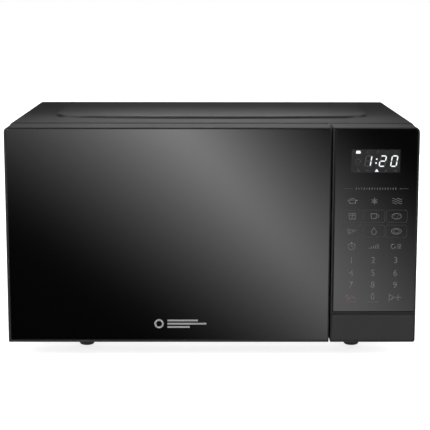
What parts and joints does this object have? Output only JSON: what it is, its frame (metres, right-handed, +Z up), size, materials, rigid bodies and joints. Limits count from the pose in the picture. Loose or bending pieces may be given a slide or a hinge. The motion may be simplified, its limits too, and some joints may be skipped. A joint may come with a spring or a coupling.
{
  "type": "microwave oven",
  "caption": "Countertop microwave oven with a wide mirrored side-hinged door, a narrow touch panel with a clock display, and a push-button door release below it.",
  "frame": {"origin": "floor level under the centre of the oven's overall width and depth", "axes": "+X to the user's right across the width, +Y from the front to the back, +Z up; the door faces -Y"},
  "size_m": [0.44, 0.324, 0.2529],
  "materials": {
    "painted_case": "satin dark grey powder paint",
    "zinc_sheet": "galvanised",
    "screw_steel": "satin",
    "black_plastic": "fine grain",
    "rubber_foot": "matte",
    "cavity_enamel": "light grey enamel, semi-gloss",
    "mica": "layered, dull",
    "copper": "bare copper",
    "aluminium_fin": "mill",
    "core_iron": "varnished laminations",
    "winding": "enamelled copper wire",
    "aluminium_can": "drawn can",
    "grey_plastic": "moulded",
    "coil_tape": "tape",
    "lamp_glass": "clear",
    "circuit_board": "laminate",
    "component": "mixed",
    "white_plastic": "moulded acetal",
    "tray_glass": "clear tempered",
    "mirror_glass": "black mirrored back, polished",
    "door_plastic": "fine grain",
    "clear_film": "clear sheet",
    "spring_steel": "drawn wire",
    "button_plastic": "fine grain, matte",
    "panel_gloss": "polished black",
    "membrane": "film",
    "display": "lit segments"
  },
  "bodies": {
    "chassis": {"outer_wrapper": "painted_case", "rear_panel": "zinc_sheet", "case_screws": "screw_steel", "rear_spacers": "black_plastic", "base_plate": "zinc_sheet", "feet": "rubber_foot", "motor_access_cover": "zinc_sheet", "cord_gland": "black_plastic", "front_plate": "cavity_enamel", "cavity_box": "cavity_enamel", "waveguide_cover": "mica", "waveguide": "zinc_sheet", "magnetron_yoke": "zinc_sheet", "magnetron_anode": "copper", "magnetron_fins": "aluminium_fin", "magnetron_filter_box": "zinc_sheet", "transformer_core": "core_iron", "transformer_windings": "winding", "hv_capacitor": "aluminium_can", "capacitor_clamp": "zinc_sheet", "hv_diode": "black_plastic", "fan_shroud": "black_plastic", "fan_motor_core": "core_iron", "fan_motor_coil": "coil_tape", "fan_motor_brackets": "zinc_sheet", "air_duct": "grey_plastic", "lamp_holder": "zinc_sheet", "oven_lamp": "lamp_glass", "thermal_cutouts": "screw_steel", "filter_board": "circuit_board", "filter_components": "component", "turntable_motor": "zinc_sheet", "door_hinges": "zinc_sheet", "interlock_bracket": "grey_plastic", "interlock_switches": "black_plastic", "button_spring": "spring_steel", "panel_housing": "door_plastic", "control_overlay": "panel_gloss", "keypad_membrane": "membrane", "display_module": "display", "control_board": "circuit_board", "board_components": "component"},
    "door": {"door_glass": "mirror_glass", "door_frame": "door_plastic", "door_panel": "cavity_enamel", "inner_window": "clear_film", "choke_cover": "black_plastic", "latch_spring": "spring_steel"},
    "latch": {"door_latch": "white_plastic"},
    "button": {"release_button": "button_plastic"},
    "lever": {"release_lever": "white_plastic"},
    "coupler": {"turntable_coupler": "white_plastic"},
    "tray": {"glass_tray": "tray_glass"},
    "ring": {"roller_ring": "white_plastic"},
    "wheel_1": {"roller_1": "white_plastic"},
    "wheel_2": {"roller_2": "white_plastic"},
    "wheel_3": {"roller_3": "white_plastic"},
    "fan": {"fan_blade": "grey_plastic", "fan_rotor": "screw_steel"}
  },
  "joints": [
    {"name": "door_hinge", "type": "hinge", "parent": "chassis", "child": "door", "pos_m": [-0.212, -0.128, 0.13], "axis": [0, 0, -1], "range_deg": [0, 100]},
    {"name": "latch_lift", "type": "slide", "parent": "door", "child": "latch", "axis": [0, 0, 1], "range_m": [0, 0.0026], "stiffness_N_per_m": 200, "springref_m": -0.004, "deforming": ["latch_spring"]},
    {"name": "button_press", "type": "slide", "parent": "chassis", "child": "button", "axis": [0, 1, 0], "range_m": [0, 0.005], "stiffness_N_per_m": 400, "springref_m": -0.005, "deforming": ["button_spring"]},
    {"name": "lever_turn", "type": "hinge", "parent": "chassis", "child": "lever", "pos_m": [0.1215, -0.106, 0.066], "axis": [1, 0, 0], "range_deg": [0, 10.3]},
    {"name": "turntable_spin", "type": "hinge", "parent": "chassis", "child": "coupler", "pos_m": [-0.051, 0.0125, 0.045], "axis": [0, 0, 1], "continuous": true},
    {"name": "tray_lift", "type": "slide", "parent": "coupler", "child": "tray", "axis": [0, 0, 1], "range_m": [0, 0.05]},
    {"name": "ring_spin", "type": "hinge", "parent": "chassis", "child": "ring", "pos_m": [-0.051, 0.0125, 0.045], "axis": [0, 0, 1], "continuous": true},
    {"name": "wheel_1_spin", "type": "hinge", "parent": "ring", "child": "wheel_1", "pos_m": [0.0365, 0.0125, 0.0449], "axis": [1, 0, 0], "continuous": true},
    {"name": "wheel_2_spin", "type": "hinge", "parent": "ring", "child": "wheel_2", "pos_m": [-0.09475, 0.08828, 0.0449], "axis": [-0.5, 0.866, 0], "continuous": true},
    {"name": "wheel_3_spin", "type": "hinge", "parent": "ring", "child": "wheel_3", "pos_m": [-0.09475, -0.06328, 0.0449], "axis": [-0.5, -0.866, 0], "continuous": true},
    {"name": "fan_spin", "type": "hinge", "parent": "chassis", "child": "fan", "pos_m": [0.166, 0.105, 0.152], "axis": [0, 1, 0], "continuous": true}
  ],
  "couplings": [
    {"joint": "lever_turn", "follows": "button_press", "rad_per_m": 35.8},
    {"joint": "latch_lift", "follows": "button_press", "ratio": 0.52},
    {"joint": "ring_spin", "follows": "turntable_spin", "ratio": 0.5},
    {"joint": "wheel_1_spin", "follows": "turntable_spin", "ratio": -6.6288},
    {"joint": "wheel_2_spin", "follows": "turntable_spin", "ratio": -6.6288},
    {"joint": "wheel_3_spin", "follows": "turntable_spin", "ratio": -6.6288}
  ]
}
